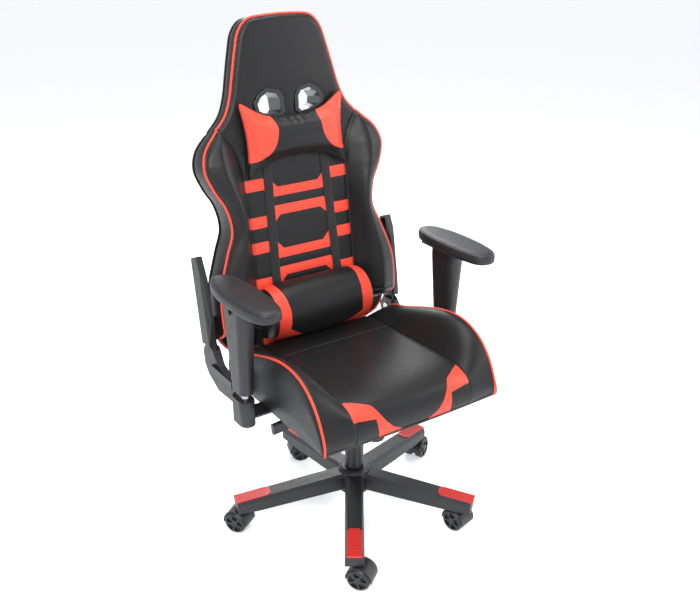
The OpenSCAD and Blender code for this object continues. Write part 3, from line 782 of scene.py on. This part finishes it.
def make_lumbar_pillow():
    """The lumbar pillow: a rounded bar blown up a little, with pointed coral ends."""
    profile = spline([[-39, 28], [-44, 18], [-62, 15], [-97, 25], [-122, 53], [-131, 90], [-122, 127],
                      [-96, 155], [-62, 165], [-44, 163], [-39, 154], [-39, 90], [-39, 28]], 8)[:-1]
    around = len(profile)
    stations = np.linspace(-LUMBAR_HALF, LUMBAR_HALF, 75)
    grid, red, seam = [], [], []
    for x in stations:
        end = abs(x) / LUMBAR_HALF
        shrink = 1 - 0.10 * end ** 3 - 0.05 * smooth(0.96, 1.0, end)
        for q in profile:
            p = LUMBAR_MIDDLE + (q - LUMBAR_MIDDLE) * shrink
            grid.append((x, min(p[0], -39.0), p[1]))
            level = (q[1] - 90) / 75
            tip = 50 * min(max(-level - 0.52, 0) / 0.36, 1) if q[0] < -50 else 0
            bound = 110 + 8 * level ** 2 - tip
            red.append(min(abs(x) - bound, LUMBAR_CORAL_END - abs(x)))
            seam.append(min(abs(abs(x) - bound), abs(abs(x) - LUMBAR_CORAL_END)))
    rows = len(stations)
    local = np.array(grid)
    cap = []
    for row, x in ((0, -LUMBAR_HALF), (rows - 1, LUMBAR_HALF)):
        local = np.vstack([local, [[x + math.copysign(3, x), *LUMBAR_MIDDLE]]])
        hub = len(local) - 1
        red.append(-5.0)
        seam.append(10.0)
        ring = [row * around + k for k in range(around)]
        fan = [(hub, ring[k], ring[(k + 1) % around]) for k in range(around)]
        cap += fan if row else [(a, c, b) for a, b, c in fan]
    faces = flipped(grid_faces(rows, around, wrap=True)) + flipped(cap)
    piece = new_mesh("lumbar_cushion", local * MM, faces, None, TWO_TONE,
                     {"red": red, "seam": seam})
    blown = inflate(piece, 2.0, 16) / MM
    shift = blown - local
    length = np.linalg.norm(shift, axis=1)
    cap_at = 6.0
    local = local + shift * np.minimum(1, cap_at / np.maximum(length, 1e-6))[:, None]
    local[:, 1] = np.minimum(local[:, 1], -38.6)
    put_on_back(piece, local)
    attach(piece, "lumbar_rest")
    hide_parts("lumbar_pillow")
    for row, side in ((1, "right"), (rows - 2, "left")):
        ring = local[row * around: (row + 1) * around]
        ring = ring[ring[:, 1] < -41]
        middle = on_back(ring[0][0], *LUMBAR_MIDDLE)
        path = on_back(ring[:, 0], ring[:, 1], ring[:, 2])
        stitches(f"lumbar_stitches_{side}", path, None, "lumbar_rest", CORAL_PIPING,
                 centre=middle)


make_lumbar_pillow()


# ---------------------------------------------------------------- straps
STRAP_WIDTH, STRAP_THICK = 25, 2.0


def webbing(name, path, normals, body):
    """A flat strap along a path of points in metres, with its flat side along normals."""
    path = np.asarray(path, float)
    tangent = np.gradient(path, axis=0)
    tangent /= np.linalg.norm(tangent, axis=1)[:, None]
    across = np.cross(tangent, normals)
    across /= np.linalg.norm(across, axis=1)[:, None]
    up = np.cross(across, tangent)
    section = np.array([(-1, -1), (-1, 1), (-0.93, 1.15), (0, 1.15), (0.93, 1.15), (1, 1), (1, -1),
                        (0, -1)])
    points = np.vstack([p + MM * (a[None] * STRAP_WIDTH / 2 * section[:, :1]
                                  + u[None] * STRAP_THICK / 2 * section[:, 1:])
                        for p, a, u in zip(path, across, up)])
    k = len(section)
    last = (len(path) - 1) * k
    faces = grid_faces(len(path), k, wrap=True)
    faces += [tuple(range(k))[::-1], tuple(range(last, last + k))]
    return new_mesh(name, points, faces, body, WEBBING)


def make_straps():
    """Two straps down the front, from the slots to the seat, and two down the rear."""
    first = None
    for sign, side in ((1, "left"), (-1, "right")):
        s = np.linspace(60, 592, 60)
        x = sign * np.interp(s, [60, 592], [98, 82])
        n = COVER_N - front_height(x, s) - 1.3
        n = np.minimum(n, -35.0)
        n[-4:] = [-36.5, -34, -29, -22]
        normal = np.tile(-NORMAL, (len(s), 1))
        piece = webbing(f"strap_front_{side}", on_back(x, n, s), normal, "backrest")
        if first is None:
            first = piece
        s = np.linspace(-6, 586, 50)
        x = sign * np.interp(s, [-6, 586], [92, 80])
        normal = np.tile(NORMAL, (len(s), 1))
        path = on_back(x, np.full(len(s), REAR_N + 7.6), s)
        webbing(f"strap_rear_{side}", path, normal, "backrest")
    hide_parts("lumbar_straps")


make_straps()


# ---------------------------------------------------------------- arm pads
def make_arm_pad(side, sign):
    """One arm pad: a leaf-like outline with a raised, softly edged top."""
    low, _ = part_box(f"arm_pad_{side}")
    bottom = low[2] / MM
    cx, cy = 312 * sign, -10
    base = spline([[0, -138], [-20, -132], [-33, -112], [-42, -60], [-44, 0], [-41, 60], [-33, 106],
                   [-19, 131], [0, 138], [20, 131], [34, 104], [44, 55], [47, 0], [44, -60], [35, -108],
                   [20, -132], [0, -138]], 6)[:-1]
    base = resampled(base, 4.0)
    profile = [(0.90, 0.0), (0.965, 0.6), (0.99, 3), (1.0, 8), (1.0, 15), (0.99, 19.5), (0.965, 22.6),
               (0.93, 24.2), (0.90, 24.6), (0.885, 23.9), (0.87, 24.2), (0.84, 25.4), (0.75, 26.8),
               (0.6, 27.7), (0.4, 28.1), (0.2, 28.3), (0.06, 28.35)]
    count = len(base)
    rings = []
    for k, z in profile:
        length_k = 1 - (1 - k) * 0.42 if k > 0.8 else (1 - 0.2 * 0.42) * k / 0.8
        rings.append(np.column_stack([cx + sign * (base[:, 0] * k), cy + base[:, 1] * length_k,
                                      np.full(count, bottom + z)]))
    points = np.vstack(rings + [[[cx, cy, bottom + 28.4]]])
    faces = grid_faces(len(profile), count, wrap=True)
    last = (len(profile) - 1) * count
    faces += [(last + c, last + (c + 1) % count, len(points) - 1) for c in range(count)]
    faces.append(tuple(range(count))[::-1])
    if sign > 0:
        faces = flipped(faces)
    piece = new_mesh(f"arm_pad_{side}_skin", points * MM, faces, f"arm_{side}", PAD_FOAM)
    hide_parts(f"arm_pad_{side}")


for side, sign in (("left", 1), ("right", -1)):
    make_arm_pad(side, sign)

# ---------------------------------------------------------------- CAD nodes' materials
SLOT_MATERIAL = {
    "pu_black": SKIN, "pu_red": CORAL_PIPING, "nylon_black": NYLON, "arm_pad_black": PAD_FOAM,
    "bezel_black": BEZEL, "red_cap": RED_CAP, "steel_black": STEEL, "bright_steel": CHROME,
    "zinc": ZINC, "webbing": WEBBING, "board": LINING,
}
SOFT_EDGED = ("star_base", "base_caps", "arm_cups", "hinge_cover_left", "hinge_cover_right",
              "hinge_foot_covers", "arm_sleeve_left", "arm_sleeve_right", "belt_bezels",
              "arm_brackets", "recline_lever", "recliner_plates", "mechanism_housing")
for part in frame["record"]["subparts"]:
    piece = nodes[part["node"]]
    piece.data.materials.clear()
    piece.data.materials.append(SLOT_MATERIAL[part["material_slot"]])
    if part["node"] in SOFT_EDGED:
        weld = piece.modifiers.new("weld", "WELD")
        weld.merge_threshold = 0.02 * MM
        bevel = piece.modifiers.new("bevel", "BEVEL")
        bevel.width = 0.9 * MM
        bevel.segments = 2
        bevel.limit_method = "ANGLE"
        bevel.angle_limit = math.radians(28)
        bevel.harden_normals = True


def make_tilt_coil():
    """The tilt spring again, as a copy of its mesh in the part's place."""
    coil = bpy.data.objects.new("tilt_coil", nodes["tilt_spring"].data.copy())
    bpy.context.scene.collection.objects.link(coil)
    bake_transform(coil)
    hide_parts("tilt_spring")


make_tilt_coil()

# ---------------------------------------------------------------- stage, light and camera
def glowing(name, colour, rough, glow):
    """A stage material that also gives off a little light."""
    material, _, shader = nodes_of(name)
    shader.inputs["Base Color"].default_value = (*colour, 1)
    shader.inputs["Roughness"].default_value = rough
    shader.inputs["Emission Color"].default_value = (0.97, 0.98, 1.0, 1)
    shader.inputs["Emission Strength"].default_value = glow
    return material


def make_stage():
    """A wide white floor."""
    size = 45.0
    mesh = bpy.data.meshes.new("floor")
    mesh.from_pydata([(-size, -size, 0), (size, -size, 0), (size, size, 0), (-size, size, 0)], [],
                     [(0, 1, 2, 3)])
    floor = bpy.data.objects.new("floor", mesh)
    bpy.context.scene.collection.objects.link(floor)
    mesh.materials.append(glowing("floor_white", (0.86, 0.87, 0.89), 0.7, 0.5))


def make_backdrop():
    """A pale round wall, near the floor's edge, so that the horizon doesn't show."""
    radius, height, sides = 40.0, 13.0, 96
    angle = np.arange(sides) * 2 * math.pi / sides
    ring = np.column_stack([radius * np.cos(angle), radius * np.sin(angle), np.zeros(sides)])
    mesh = bpy.data.meshes.new("backdrop")
    mesh.from_pydata(np.vstack([ring - [0, 0, 0.5], ring + [0, 0, height]]).tolist(), [],
                     flipped(grid_faces(2, sides, wrap=True)))
    wall = bpy.data.objects.new("backdrop", mesh)
    bpy.context.scene.collection.objects.link(wall)
    mesh.materials.append(glowing("backdrop_white", (0.3, 0.3, 0.3), 1.0, 0.86))


def area_light(name, place, target, size, power):
    """A white square light that points at its target."""
    data = bpy.data.lights.new(name, "AREA")
    data.energy, data.size = power, size
    light = bpy.data.objects.new(name, data)
    light.location = place
    light.rotation_euler = (Vector(target) - Vector(place)).to_track_quat("-Z", "Y").to_euler()
    bpy.context.scene.collection.objects.link(light)


make_stage()
make_backdrop()
area_light("key", (-1.7, -1.9, 2.9), (0, 0, 0.7), 1.5, 90)
area_light("fill", (2.5, -1.3, 1.9), (0, 0, 0.6), 1.6, 40)
area_light("top", (0.2, 0.4, 3.3), (0, 0, 0.5), 2.0, 60)
area_light("rim", (1.3, 2.6, 2.2), (0, 0, 0.8), 1.4, 50)
world = bpy.data.worlds.new("studio")
world.use_nodes = True
world.node_tree.nodes["Background"].inputs["Color"].default_value = (0.95, 0.965, 1.0, 1)
world.node_tree.nodes["Background"].inputs["Strength"].default_value = 0.42
bpy.context.scene.world = world
bpy.context.scene.view_settings.view_transform = "Standard"

CAMERA_AZIMUTH = math.radians(-34)
CAMERA_ELEVATION = math.radians(24)
CAMERA_DISTANCE = 2.35
AIM = Vector((0.0, 0.02, 0.62))
camera_data = bpy.data.cameras.new("camera")
camera_data.lens = 48
camera = bpy.data.objects.new("camera", camera_data)
direction = Vector((math.sin(CAMERA_AZIMUTH) * math.cos(CAMERA_ELEVATION),
                    -math.cos(CAMERA_AZIMUTH) * math.cos(CAMERA_ELEVATION), math.sin(CAMERA_ELEVATION)))
camera.location = AIM + direction * CAMERA_DISTANCE
camera.rotation_euler = (-direction).to_track_quat("-Z", "Y").to_euler()
bpy.context.scene.collection.objects.link(camera)
bpy.context.scene.camera = camera
